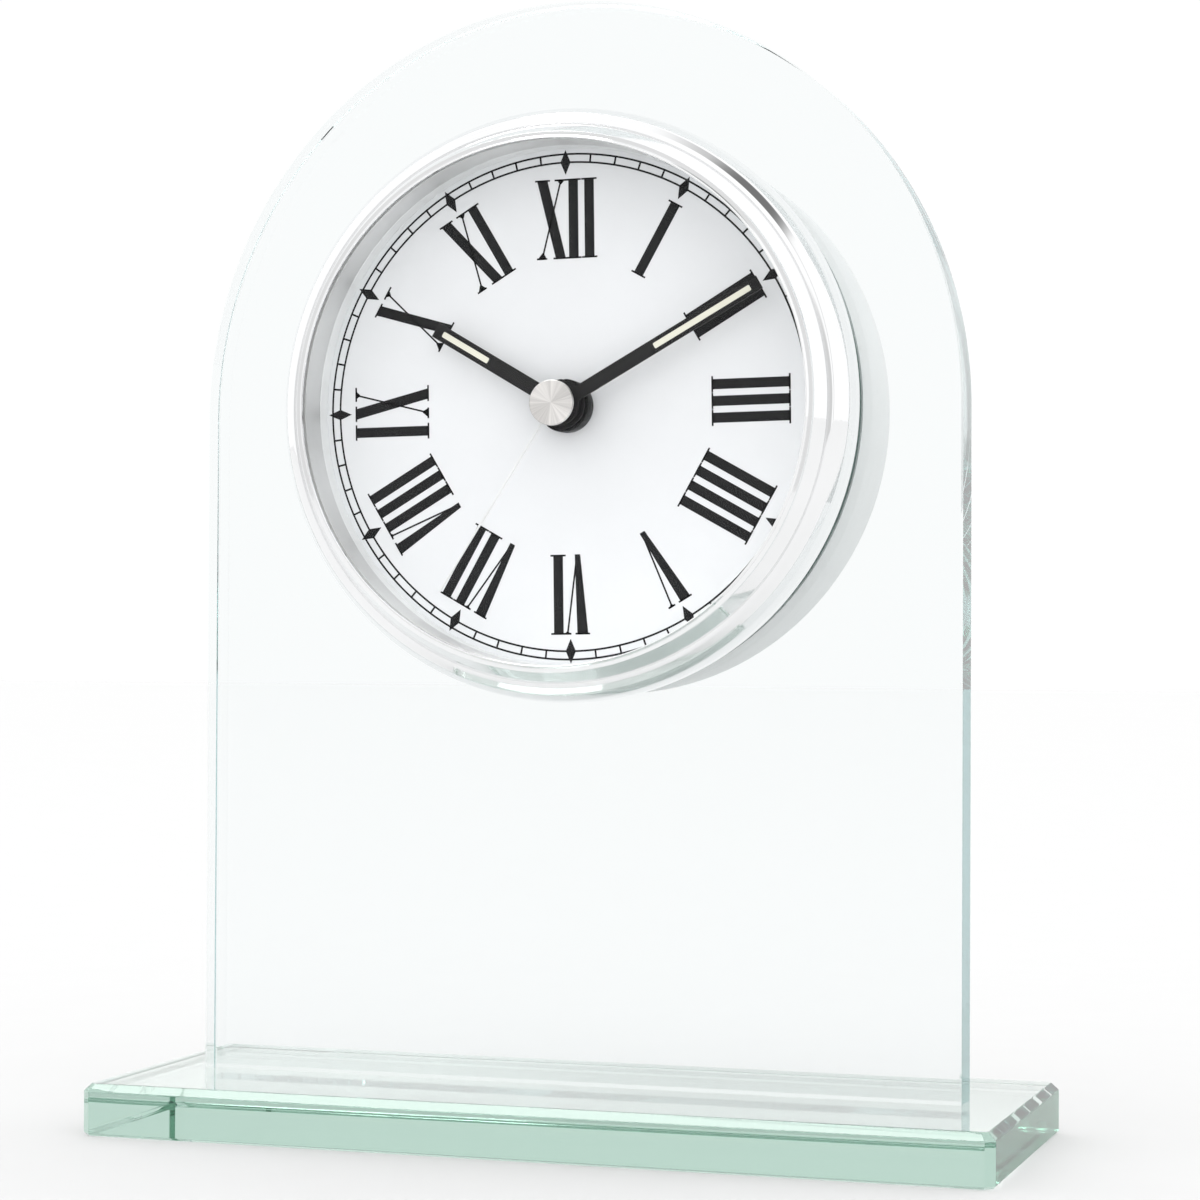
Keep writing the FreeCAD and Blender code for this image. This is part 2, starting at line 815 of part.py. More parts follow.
# Back half of the movement: battery bay, pivot bosses and the hole for the setting arbor
def make_movement_back():
    box = rounded_block(movement_half, movement_corner, movement_seam, movement_rear)
    hollow = rounded_block(movement_cavity, movement_corner - movement_wall,
                           movement_seam - overrun, movement_back_inside)
    shell = box.cut(hollow)
    bay_top = -battery_drop + battery_radius + bay_gap
    divider = block(-movement_cavity, movement_cavity, movement_inside + layer_gap, movement_back_inside,
                    bay_top, bay_top + bay_wall)
    bosses = []
    rotor_end = back_layer(2) + layer_thickness + layer_gap / 2 + magnet_length + pivot_depth
    for centre, end in ((hand_axis, arbor_end()), (third_place, arbor_end()), (middle_place, arbor_end()),
                        (rotor_place, rotor_end)):
        start = end - pivot_depth
        bosses.append(disc(hub_radius, start, movement_back_inside, *centre))
    for x in stator_leg_places():
        leg_back = stator_front() + stator_thickness
        bosses.append(disc(stator_post_radius, leg_back, movement_back_inside, x, rotor_place[1]))
    shell = fused([shell, divider] + bosses)
    cuts = [bay_box(0)]
    for centre, radius, end in ((hand_axis, second_arbor_radius, arbor_end()),
                                (third_place, arbor_radius, arbor_end()),
                                (middle_place, arbor_radius, arbor_end()),
                                (rotor_place, arbor_radius, rotor_end)):
        cuts.append(disc(radius + running_gap, movement_seam, end + running_gap, *centre))
    cuts.append(disc(setting_arbor_radius + running_gap, movement_back_inside - overrun,
                     movement_rear + overrun, *setting_place))
    return cut_all(shell, cuts)


def make_rubber_washer():
    return tube(rubber_radius, bush_radius + bush_gap, boss_back, movement_front)


def make_dial_washer():
    return tube(washer_radius, bush_radius + bush_gap, washer_front, dial_front)


def make_dial_nut():
    nut = tube(nut_radius, bush_radius + screw_gap, nut_front, washer_front)
    flutes = []
    for n in range(nut_flute_count):
        x, z = polar(nut_radius, full_turn * n / nut_flute_count)
        flutes.append(disc(nut_flute_radius, nut_front - overrun, washer_front - washer_thickness, x, z))
    return cut_all(nut, flutes)


def stator_front():
    return back_layer(2) + layer_thickness + layer_gap


def stator_leg_places():
    half_bar = stator_bar_width / 2
    return rotor_place[0] - stator_left_length + half_bar, rotor_place[0] + stator_right_length - half_bar


# One-piece stator: a ring round the rotor, two legs, and the bar that the coil is wound on
def make_stator():
    y0 = stator_front()
    y1 = y0 + stator_thickness
    x, z = rotor_place
    ring_inner = magnet_radius + stator_air_gap
    ring_outer = ring_inner + stator_ring_width
    half_bar = stator_bar_width / 2
    left = x - stator_left_length
    right = x + stator_right_length
    top = coil_height + half_bar
    parts = [disc(ring_outer, y0, y1, x, z)]
    parts.append(block(left, right, y0, y1, z - half_bar, z + half_bar))
    parts.append(block(left, left + stator_bar_width, y0, y1, z - half_bar, top))
    parts.append(block(right - stator_bar_width, right, y0, y1, z - half_bar, top))
    half_core = coil_core_width / 2
    parts.append(block(left, right, y0, y1, coil_height - half_core, coil_height + half_core))
    return drill(fused(parts), ring_inner, y0, y1, rotor_place)


# Coil: a flanged bobbin with its winding, wound round the stator's bar
def make_coil():
    x = rotor_place[0]
    start = x - stator_left_length + stator_bar_width + coil_clearance
    end = x + stator_right_length - stator_bar_width - coil_clearance
    middle = stator_front() + stator_thickness / 2
    direction = V(1, 0, 0)
    winding = Part.makeCylinder(coil_radius, end - start, place(start, middle, coil_height), direction)
    near_start = place(start, middle, coil_height)
    near = Part.makeCylinder(coil_flange_radius, coil_flange_thickness, near_start, direction)
    far_start = place(end - coil_flange_thickness, middle, coil_height)
    far = Part.makeCylinder(coil_flange_radius, coil_flange_thickness, far_start, direction)
    half_y = stator_thickness / 2 + coil_clearance
    half_z = coil_core_width / 2 + coil_clearance
    core = block(start - overrun, end + overrun, middle - half_y, middle + half_y,
                 coil_height - half_z, coil_height + half_z)
    return fused([winding, near, far]).cut(core)


def board_place():
    right = movement_cavity - board_edge_gap
    bottom = -battery_drop + battery_radius + bay_gap + bay_wall + board_edge_gap
    return right, bottom


def make_circuit_board():
    right, bottom = board_place()
    front = movement_back_inside - board_thickness
    board = block(right - board_width, right, front, movement_back_inside, bottom, bottom + board_length)
    chip = disc(chip_radius, front - chip_height, front, right - board_width / 2, bottom + board_length / 4)
    return board.fuse(chip)


def make_crystal():
    right, bottom = board_place()
    front = movement_back_inside - board_thickness
    y = front - crystal_radius - crystal_gap
    start = place(right - board_width / 2, y, bottom + board_length - crystal_length - crystal_gap)
    return Part.makeCylinder(crystal_radius, crystal_length, start, V(0, 0, 1))


def battery_axis_y():
    return movement_inside + battery_front_gap + battery_radius


def make_battery():
    y = battery_axis_y()
    start = place(-battery_length / 2, y, -battery_drop)
    can = Part.makeCylinder(battery_radius, battery_length, start, V(1, 0, 0))
    end = place(battery_length / 2, y, -battery_drop)
    nub = Part.makeCylinder(battery_nub_radius, battery_nub_length, end, V(1, 0, 0))
    return can.fuse(nub)


def make_contact_plus():
    x = battery_length / 2 + battery_nub_length + contact_touch_gap
    y = battery_axis_y()
    return block(x, x + contact_thickness, y - contact_width / 2, y + contact_width / 2,
                 -battery_drop - contact_height / 2, -battery_drop + contact_height / 2)


# Minus contact: a leaf against the bay's end with a dome that presses on the cell
def make_contact_minus():
    wall = -movement_cavity + contact_touch_gap
    y = battery_axis_y()
    leaf = block(wall, wall + contact_thickness, y - contact_width / 2, y + contact_width / 2,
                 -battery_drop - contact_height / 2, -battery_drop + contact_height / 2)
    reach = -battery_length / 2 - contact_touch_gap - wall
    foot = place(wall, y, -battery_drop)
    dome = Part.makeCone(contact_dome_radius, contact_dome_radius / 2, reach, foot, V(1, 0, 0))
    return leaf.fuse(dome)


# A hand is a slim bar with a blunt end, a round boss and a window for its inlay
def make_hand(length, width, boss, bore, height, inlay, angle):
    back = dial_front - height
    front = back - hand_thickness
    hand = block(-width / 2, width / 2, front, back, 0, length).fuse(disc(boss, front, back))
    hand = drill(hand, bore, front, back)
    window = block(-inlay_width / 2, inlay_width / 2, front - overrun, back + overrun, inlay[0], inlay[1])
    return spin(hand.cut(window), angle)


def make_inlay(height, inlay, angle):
    back = dial_front - height
    strip = block(-inlay_width / 2, inlay_width / 2, back - hand_thickness, back, inlay[0], inlay[1])
    return spin(strip, angle)


def make_second_hand():
    back = dial_front - second_hand_height
    front = back - second_hand_thickness
    half = second_hand_width / 2
    arm = block(-half, half, front, back, 0, second_hand_length)
    collar_front = back - second_collar_ahead
    collar_back = back + second_collar_behind
    collar = disc(second_collar_radius, collar_front, collar_back)
    hand = drill(arm.fuse(collar), second_arbor_radius, collar_front, collar_back)
    return spin(hand, second_hand_angle)


def make_second_cap():
    back = dial_front - second_hand_height - second_collar_ahead
    cap = disc(cap_radius, back - cap_thickness, back)
    rim = [e for e in cap.Edges if e.BoundBox.YMax < back - cap_thickness / 2]
    return cap.makeChamfer(cap_edge, rim)


hour_inlay = (hour_inlay_start, hour_inlay_end)
minute_inlay = (minute_inlay_start, minute_inlay_end)

nodes = {
    "glass_base": make_glass_base(),
    "glass_arch": make_glass_arch(),
    "front_gasket": make_front_gasket(),
    "rear_gasket": make_rear_gasket(),
    "bezel": make_bezel(),
    "bezel_screws": make_bezel_screws(),
    "lens": make_lens(),
    "inner_ring": make_inner_ring(),
    "dial_spacer": make_dial_spacer(),
    "dial": make_dial(),
    "dial_carrier": make_dial_carrier(),
    "dial_washer": make_dial_washer(),
    "dial_nut": make_dial_nut(),
    "rubber_washer": make_rubber_washer(),
    "rear_case": make_rear_case(),
    "case_screws": make_case_screws(),
    "battery_door": make_battery_door(),
    "movement_front": make_movement_front(),
    "movement_bridge": make_bridge(),
    "movement_back": make_movement_back(),
    "stator": make_stator(),
    "coil": make_coil(),
    "circuit_board": make_circuit_board(),
    "quartz_crystal": make_crystal(),
    "battery": make_battery(),
    "contact_plus": make_contact_plus(),
    "contact_minus": make_contact_minus(),
    "rotor": make_rotor(),
    "middle_wheel": make_middle_wheel(),
    "seconds_wheel": make_seconds_wheel(),
    "third_wheel": make_third_wheel(),
    "centre_wheel": make_centre_wheel(),
    "minute_pipe": make_minute_pipe(),
    "motion_wheel": make_motion_wheel(),
    "hour_wheel": make_hour_wheel(),
    "setting_arbor": make_setting_arbor(),
    "setting_knob": make_setting_knob(),
    "hour_hand": make_hand(hour_hand_length, hour_hand_width, hour_boss_radius, hour_pipe_radius,
                           hour_hand_height, hour_inlay, hour_hand_angle),
    "hour_hand_inlay": make_inlay(hour_hand_height, hour_inlay, hour_hand_angle),
    "minute_hand": make_hand(minute_hand_length, minute_hand_width, minute_boss_radius, minute_pipe_radius,
                             minute_hand_height, minute_inlay, minute_hand_angle),
    "minute_hand_inlay": make_inlay(minute_hand_height, minute_inlay, minute_hand_angle),
    "second_hand": make_second_hand(),
    "second_hand_cap": make_second_cap(),
}

os.makedirs("parts", exist_ok=True)
for name, shape in nodes.items():
    shape.exportStep("parts/" + name + ".step")
    print(name, "solids", len(shape.Solids), "volume", round(shape.Volume, 2), "valid", shape.isValid())
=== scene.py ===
import math

import bmesh
import bpy
from mathutils import Matrix, Vector
from mathutils.geometry import tessellate_polygon


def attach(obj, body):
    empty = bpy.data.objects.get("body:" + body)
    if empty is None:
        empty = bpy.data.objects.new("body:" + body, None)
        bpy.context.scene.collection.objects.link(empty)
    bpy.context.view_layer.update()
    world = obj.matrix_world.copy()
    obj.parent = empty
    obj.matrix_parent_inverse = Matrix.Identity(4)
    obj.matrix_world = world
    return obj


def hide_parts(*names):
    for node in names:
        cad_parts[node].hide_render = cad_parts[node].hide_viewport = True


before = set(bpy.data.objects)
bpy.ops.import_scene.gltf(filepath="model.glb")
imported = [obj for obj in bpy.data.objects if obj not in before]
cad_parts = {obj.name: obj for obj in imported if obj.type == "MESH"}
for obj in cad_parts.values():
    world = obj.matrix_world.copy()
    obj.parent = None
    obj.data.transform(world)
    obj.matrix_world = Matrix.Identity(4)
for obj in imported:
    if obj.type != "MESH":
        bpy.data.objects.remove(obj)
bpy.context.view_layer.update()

# Sizes are in millimetres until a mesh is written
mm = 0.001
axisZ = 127.7
dialY = -5.2
root = "clock_body"


# ---- mesh helpers ----
def addPiece(name, verts, faces, material, body, replaced=(), sharp=30.0, bevel=0.0):
    mesh = bpy.data.meshes.new(name)
    mesh.from_pydata([Vector(v) * mm for v in verts], [], faces)
    build = bmesh.new()
    build.from_mesh(mesh)
    bmesh.ops.remove_doubles(build, verts=build.verts, dist=1e-7)
    bmesh.ops.recalc_face_normals(build, faces=build.faces)
    if bevel:
        limit = math.radians(sharp)
        edges = [e for e in build.edges if len(e.link_faces) == 2 and e.calc_face_angle() > limit]
        bmesh.ops.bevel(build, geom=edges, offset=bevel * mm, segments=2, profile=0.7,
                        affect="EDGES")
    build.to_mesh(mesh)
    build.free()
    return finishPiece(name, mesh, material, body, replaced, sharp)


def finishPiece(name, mesh, material, body, replaced=(), sharp=30.0):
    mesh.polygons.foreach_set("use_smooth", [True] * len(mesh.polygons))
    mesh.set_sharp_from_angle(angle=math.radians(sharp))
    mesh.materials.clear()
    mesh.materials.append(material)
    piece = bpy.data.objects.new(name, mesh)
    bpy.context.scene.collection.objects.link(piece)
    normals = piece.modifiers.new("flatFaces", "WEIGHTED_NORMAL")
    normals.keep_sharp = True
    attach(piece, body)
    if replaced:
        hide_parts(*replaced)
    return piece


def filletProfile(points, steps):
    # Points of a closed outline are (radius, y) or (radius, y, fillet)
    result = []
    for i, point in enumerate(points):
        here = Vector(point[:2])
        radius = point[2] if len(point) > 2 else 0
        if not radius:
            result.append(tuple(here))
            continue
        toBack = (Vector(points[i - 1][:2]) - here).normalized()
        toNext = (Vector(points[(i + 1) % len(points)][:2]) - here).normalized()
        half = toBack.angle(toNext) / 2
        reach = radius / math.tan(half)
        centre = here + (toBack + toNext).normalized() * (radius / math.sin(half))
        start, end = here + toBack * reach - centre, here + toNext * reach - centre
        turn = math.atan2(start.x * end.y - start.y * end.x, start.dot(end))
        for step in range(steps + 1):
            spin = Matrix.Rotation(turn * step / steps, 2)
            result.append(tuple(centre + spin @ start))
    return result


def revolved(points, segments, closed=True):
    verts, faces = [], []
    count = len(points)
    for s in range(segments):
        turn = 2 * math.pi * s / segments
        for r, y in points:
            verts.append((r * math.sin(turn), y, axisZ + r * math.cos(turn)))
    for s in range(segments):
        a, b = s * count, (s + 1) % segments * count
        for i in range(count if closed else count - 1):
            j = (i + 1) % count
            faces.append((a + i, a + j, b + j, b + i))
    return verts, faces


def addTurned(name, profile, steps, segments, material, body, node, sharp=40.0):
    # A piece turned about the dial's axis, with its profile's corners rounded
    verts, faces = revolved(filletProfile(profile, steps), segments)
    return addPiece(name, verts, faces, material, body, [node], sharp)


def circleLoop(radius, count=256):
    turns = [2 * math.pi * i / count for i in range(count)]
    return [(radius * math.sin(turn), radius * math.cos(turn)) for turn in turns]


def offsetLoop(loop, distance):
    # Moves every corner towards the solid's inside, along the two sides' normals
    result = []
    area = sum(a[0] * b[1] - b[0] * a[1] for a, b in zip(loop, loop[1:] + loop[:1]))
    side = 1 if area > 0 else -1
    for i, point in enumerate(loop):
        before, after = Vector(loop[i - 1]), Vector(loop[(i + 1) % len(loop)])
        here = Vector(point)
        first, second = (here - before).normalized(), (after - here).normalized()
        normal = Vector((-first.y - second.y, first.x + second.x)).normalized() * side
        spread = max(0.3, normal.dot(Vector((-first.y, first.x)) * side))
        result.append(tuple(here + normal * distance / spread))
    return result


def slab(outer, holes, levels):
    # Levels are (depth, inset); loops are in (across, up) and the result in (across, depth, up)
    verts, faces, rings = [], [], []
    for loop, sign in [(outer, 1)] + [(hole, -1) for hole in holes]:
        for depth, inset in levels:
            moved = offsetLoop(loop, inset * sign) if inset else loop
            rings.append(list(range(len(verts), len(verts) + len(moved))))
            verts += [(x, depth, z) for x, z in moved]
    for first in range(0, len(rings), len(levels)):
        last = first + len(levels)
        for lower, upper in zip(rings[first:last - 1], rings[first + 1:last]):
            for i in range(len(lower)):
                j = (i + 1) % len(lower)
                faces.append((lower[i], lower[j], upper[j], upper[i]))
    for end in (0, len(levels) - 1):
        loops = rings[end::len(levels)]
        flat = [index for ring in loops for index in ring]
        outline = [[Vector((verts[i][0], verts[i][2], 0)) for i in ring] for ring in loops]
        faces += [tuple(flat[i] for i in triangle) for triangle in tessellate_polygon(outline)]
    return verts, faces


def clockTurn(verts, angle):
    # Clockwise from twelve, about the dial's axis
    turn = math.radians(angle)
    c, s = math.cos(turn), math.sin(turn)
    return [(x * c + z * s, y, z * c - x * s + axisZ) for x, y, z in verts]


# ---- material helpers ----
def newMaterial(name):
    material = bpy.data.materials.new(name)
    material.use_nodes = True
    return material, material.node_tree, material.node_tree.nodes["Principled BSDF"]


def addNode(tree, kind, **values):
    # A value goes to the input of that name, or else to the node's own setting
    node = tree.nodes.new(kind)
    for key, value in values.items():
        if key in node.inputs:
            node.inputs[key].default_value = value
        else:
            setattr(node, key, value)
    return node


def linkAll(tree, pairs):
    for first, second in pairs:
        tree.links.new(first, second)


def makeGrainGroup():
    # Fine surface grain: a value for the roughness, and a normal
    group = bpy.data.node_groups.new("surfaceGrain", "ShaderNodeTree")
    face = group.interface
    for name, value in (("Scale", 400.0), ("Low", 0.1), ("High", 0.2), ("Bump", 0.05)):
        socket = face.new_socket(name, in_out="INPUT", socket_type="NodeSocketFloat")
        socket.default_value = value
    face.new_socket("Value", in_out="OUTPUT", socket_type="NodeSocketFloat")
    face.new_socket("Normal", in_out="OUTPUT", socket_type="NodeSocketVector")
    inside, outside = group.nodes.new("NodeGroupInput"), group.nodes.new("NodeGroupOutput")
    place = group.nodes.new("ShaderNodeTexCoord")
    noise = addNode(group, "ShaderNodeTexNoise", Detail=6.0, Roughness=0.6)
    spread = addNode(group, "ShaderNodeMapRange", **{"From Min": 0.3, "From Max": 0.7})
    bump = addNode(group, "ShaderNodeBump", Distance=0.0002)
    linkAll(group, [
        (place.outputs["Object"], noise.inputs["Vector"]),
        (inside.outputs["Scale"], noise.inputs["Scale"]),
        (noise.outputs["Fac"], spread.inputs["Value"]),
        (inside.outputs["Low"], spread.inputs["To Min"]),
        (inside.outputs["High"], spread.inputs["To Max"]),
        (inside.outputs["Bump"], bump.inputs["Strength"]),
        (noise.outputs["Fac"], bump.inputs["Height"]),
        (spread.outputs["Result"], outside.inputs["Value"]),
        (bump.outputs["Normal"], outside.inputs["Normal"])])
    return group


grainGroup = makeGrainGroup()


def grained(name, color, metallic=0.0, rough=(0.3, 0.4), scale=900.0, bump=0.08, spread=0.06,
            coat=0.0, specular=0.5):
    # A finish whose roughness and bump vary with the grain, and its colour in soft clouds
    material, tree, shader = newMaterial(name)
    grain = addNode(tree, "ShaderNodeGroup", node_tree=grainGroup)
    for key, value in (("Scale", scale), ("Low", rough[0]), ("High", rough[1]), ("Bump", bump)):
        grain.inputs[key].default_value = value
    place = tree.nodes.new("ShaderNodeTexCoord")
    cloud = addNode(tree, "ShaderNodeTexNoise", Scale=60.0, Detail=3.0)
    ramp = tree.nodes.new("ShaderNodeValToRGB")
    dark, light = ramp.color_ramp.elements
    dark.position, light.position = 0.35, 0.65
    dark.color = [c * (1 - spread) for c in color] + [1]
    light.color = [min(1, c * (1 + spread / 2)) for c in color] + [1]
    linkAll(tree, [
        (grain.outputs["Value"], shader.inputs["Roughness"]),
        (grain.outputs["Normal"], shader.inputs["Normal"]),
        (place.outputs["Object"], cloud.inputs["Vector"]),
        (cloud.outputs["Fac"], ramp.inputs["Fac"]),
        (ramp.outputs["Color"], shader.inputs["Base Color"])])
    shader.inputs["Metallic"].default_value = metallic
    shader.inputs["Coat Weight"].default_value = coat
    shader.inputs["Specular IOR Level"].default_value = specular
    return material


def glassMaterial(name, ior, absorb=None, density=0.0):
    material, tree, shader = newMaterial(name)
    shader.inputs["Base Color"].default_value = (1, 1, 1, 1)
    shader.inputs["Roughness"].default_value = 0.0
    shader.inputs["IOR"].default_value = ior
    shader.inputs["Metallic"].default_value = 0.0
    shader.inputs["Transmission Weight"].default_value = 1.0
    if absorb:
        volume = addNode(tree, "ShaderNodeVolumeAbsorption", Color=(*absorb, 1), Density=density)
        tree.links.new(volume.outputs["Volume"], tree.nodes["Material Output"].inputs["Volume"])
    return material


baseGlass = glassMaterial("baseGlass", 1.52, (0.07, 0.48, 0.31), 11.0)
plateGlass = glassMaterial("plateGlass", 1.52, (0.13, 0.52, 0.53), 7.0)
# The lens has a low index, so that it throws no veil over the black print
lensGlass = glassMaterial("lensGlass", 1.15)

chrome = grained("polishedChrome", (0.91, 0.915, 0.92), metallic=1.0, rough=(0.03, 0.07),
                 scale=150.0, bump=0.002, spread=0.02)
ringChrome = grained("ringChrome", (0.85, 0.855, 0.85), metallic=1.0, rough=(0.5, 0.6),
                     scale=300.0, bump=0.02, spread=0.04)
steel = grained("screwSteel", (0.6, 0.6, 0.61), metallic=1.0, rough=(0.25, 0.4))
magnetMetal = grained("magnetMetal", (0.3, 0.3, 0.32), metallic=0.8, rough=(0.3, 0.5))
copperWire = grained("copperWire", (0.65, 0.3, 0.14), metallic=0.9, rough=(0.25, 0.4),
                     scale=2500.0, bump=0.3)
secondSilver = grained("secondSilver", (0.8, 0.81, 0.81), metallic=0.3, rough=(0.35, 0.45))

dialWhite = grained("dialWhite", (0.795, 0.81, 0.826), rough=(0.45, 0.55), scale=1200.0,
                    bump=0.02, spread=0.015)
inkBlack = grained("dialInk", (0.009, 0.0093, 0.0105), rough=(0.5, 0.65), bump=0.02, spread=0.1,
                   specular=0.2)
hubBlack = grained("hubBlack", (0.003, 0.003, 0.0033), rough=(0.12, 0.22), scale=800.0,
                   bump=0.02, spread=0.1, specular=0.15)
handBlack = grained("handBlack", (0.009, 0.009, 0.0095), rough=(0.4, 0.5), bump=0.03, spread=0.1,
                    specular=0.25)
inlayCream = grained("inlayCream", (0.78, 0.77, 0.66), rough=(0.6, 0.75), bump=0.1, spread=0.04)

spacerPlastic = grained("spacerPlastic", (0.93, 0.95, 0.95), scale=700.0)
gasketRubber = grained("gasketRubber", (0.1, 0.16, 0.145), rough=(0.6, 0.8), scale=700.0)
casePlastic = grained("casePlastic", (0.64, 0.655, 0.655), rough=(0.28, 0.4), scale=1500.0,
                      bump=0.06, spread=0.02)
# Painted light: the carrier is given a lighter plastic than the case, to lift the shade inside
# the plate's hole
carrierPlasticPaintedLight = grained("carrierPlasticPaintedLight", (0.9, 0.91, 0.91), rough=(0.35, 0.45), scale=1200.0,
                         bump=0.04, spread=0.02)
knobPlastic = grained("knobPlastic", (0.03, 0.03, 0.033), rough=(0.35, 0.5), scale=1200.0)
movementPlastic = grained("movementPlastic", (0.03, 0.03, 0.033), rough=(0.4, 0.55),
                          scale=1300.0)
bridgePlastic = grained("bridgePlastic", (0.25, 0.26, 0.28), rough=(0.4, 0.5))
gearPlastic = grained("gearPlastic", (0.82, 0.8, 0.74), rough=(0.35, 0.45))
boardGreen = grained("boardGreen", (0.03, 0.2, 0.09), rough=(0.3, 0.45))
cellSleeve = grained("cellSleeve", (0.1, 0.22, 0.18), metallic=0.2, rough=(0.25, 0.35),
                     scale=500.0, bump=0.02, spread=0.05, coat=0.5)

# The cap's dark and light tones; the two fans between them are painted highlight (painted sheen)
capFinishAndSheen = {"dark": (0.57, 0.555, 0.54, 1), "light": (0.84, 0.82, 0.8, 1), "roughness": 0.38,
             "paintedSheenFans": 2.0, "paintedSheenTurn": 1.2, "paintedSheenWeight": 0.11}


def makeCapMaterial(finish):
    # Sunray brushing: thin scratches that fan out from the dial's axis, with two bright fans of
    # painted highlight, a painted sheen fixed in the colour
    material, tree, shader = newMaterial("capSunrayAndPaintedSheen")
    place = tree.nodes.new("ShaderNodeTexCoord")
    split = tree.nodes.new("ShaderNodeSeparateXYZ")
    drop = addNode(tree, "ShaderNodeMath", operation="SUBTRACT")
    drop.inputs[1].default_value = axisZ * mm
    angle = addNode(tree, "ShaderNodeMath", operation="ARCTAN2")
    fine = addNode(tree, "ShaderNodeTexNoise", noise_dimensions="1D", Scale=3.0, Detail=7.0,
                   Roughness=0.6)
    doubled = addNode(tree, "ShaderNodeMath", operation="MULTIPLY")
    doubled.inputs[1].default_value = finish["paintedSheenFans"]
    shifted = addNode(tree, "ShaderNodeMath", operation="ADD")
    shifted.inputs[1].default_value = finish["paintedSheenTurn"]
    # Painted highlight: two bright fans at a fixed turn about the axis
    paintedSheenFans = addNode(tree, "ShaderNodeMath", operation="COSINE")
    weight = addNode(tree, "ShaderNodeMath", operation="MULTIPLY_ADD")
    weight.inputs[1].default_value = finish["paintedSheenWeight"]
    ramp = tree.nodes.new("ShaderNodeValToRGB")
    dark, light = ramp.color_ramp.elements
    dark.position, light.position = 0.3, 0.7
    dark.color, light.color = finish["dark"], finish["light"]
    bump = addNode(tree, "ShaderNodeBump", Strength=0.15, Distance=0.00005)
    linkAll(tree, [
        (place.outputs["Object"], split.inputs["Vector"]),
        (split.outputs["Z"], drop.inputs[0]),
        (split.outputs["X"], angle.inputs[0]), (drop.outputs["Value"], angle.inputs[1]),
        (angle.outputs["Value"], fine.inputs["W"]),
        (angle.outputs["Value"], doubled.inputs[0]),
        (doubled.outputs["Value"], shifted.inputs[0]),
        (shifted.outputs["Value"], paintedSheenFans.inputs[0]),
        (paintedSheenFans.outputs["Value"], weight.inputs[0]), (fine.outputs["Fac"], weight.inputs[2]),
        (weight.outputs["Value"], ramp.inputs["Fac"]),
        (ramp.outputs["Color"], shader.inputs["Base Color"]),
        (fine.outputs["Fac"], bump.inputs["Height"]),
        (bump.outputs["Normal"], shader.inputs["Normal"])])
    shader.inputs["Metallic"].default_value = 1.0
    shader.inputs["Roughness"].default_value = finish["roughness"]
    return material


capSunrayAndPaintedSheen = makeCapMaterial(capFinishAndSheen)
print("materials made")

# ---- glass base ----
baseSize = {"width": 160.0, "depth": 66.0, "height": 9.0, "top": 1.3, "corner": 1.55,
            "bottom": 0.5, "round": 0.18}


def makeBase(size):
    halfW, halfD, cut = size["width"] / 2, size["depth"] / 2, size["corner"]
    corners = [(halfW, halfD - cut), (halfW - cut, halfD), (-halfW + cut, halfD),
               (-halfW, halfD - cut), (-halfW, -halfD + cut), (-halfW + cut, -halfD),
               (halfW - cut, -halfD), (halfW, -halfD + cut)]
    top, bottom, height = size["top"], size["bottom"], size["height"]
    levels = [(0.0, bottom), (bottom, 0.0), (height - top, 0.0), (height, top)]
    verts, faces = slab(corners, [], levels)
    verts = [(x, z, y) for x, y, z in verts]
    return addPiece("glassBase", verts, faces, baseGlass, root, ["glass_base"],
                    8.0, size["round"])


# The renderer carries no light through glass, so clear pieces cast no shadow
makeBase(baseSize).visible_shadow = False

# ---- glass arch plate ----
archSize = {"width": 138.5, "foot": 8.97, "spring": 127.0, "rise": 72.0, "front": -4.0,
            "back": 4.0, "chamfer": 0.3, "hole": 49.8, "steps": 180}


def makeArch(size):
    half, foot, spring = size["width"] / 2, size["foot"] - axisZ, size["spring"] - axisZ
    outer = [(-half, foot), (-half, spring)]
    for i in range(1, size["steps"]):
        turn = math.pi * (1 - i / size["steps"])
        outer.append((half * math.cos(turn), spring + size["rise"] * math.sin(turn)))
    outer += [(half, spring), (half, foot)]
    cut = size["chamfer"]
    levels = [(size["front"], cut), (size["front"] + cut, 0.0),
              (size["back"] - cut, 0.0), (size["back"], cut)]
    verts, faces = slab(outer, [circleLoop(size["hole"] - cut)], levels)
    # The foot edge stays square and dips into the base, as glued glass does
    verts = [(x, y, foot) if z < foot + 2 * cut else (x, y, z) for x, y, z in verts]
    # The hole's wall stays straight
    fixed = []
    for x, y, z in verts:
        reach = math.hypot(x, z)
        if reach < size["hole"] + cut:
            x, z = x * size["hole"] / reach, z * size["hole"] / reach
        fixed.append((x, y, z + axisZ))
    return addPiece("glassArch", fixed, faces, plateGlass, root, ["glass_arch"],
                    12.0)


makeArch(archSize).visible_shadow = False
print("glass made")

# ---- bezel: skirt, bead, fine groove, collar and lip ----
bezelProfile = [
    (46.5, -4.5, 0.1), (51.45, -4.5, 0.15), (51.8, -5.1, 0.3), (51.8, -7.9, 1.5),
    (51.45, -10.3, 2.5), (50.4, -12.2, 2.2), (49.1, -13.35, 1.0), (48.4, -13.6, 0.1),
    (48.35, -13.4, 0.05), (48.2, -13.4, 0.05), (48.15, -13.65, 0.1), (45.5, -17.58, 0.12),
    (45.3, -17.5, 0.08), (45.3, -17.1, 0.02), (46.5, -17.1, 0.05)]
addTurned("bezel", bezelProfile, 4, 768, chrome, root, "bezel")

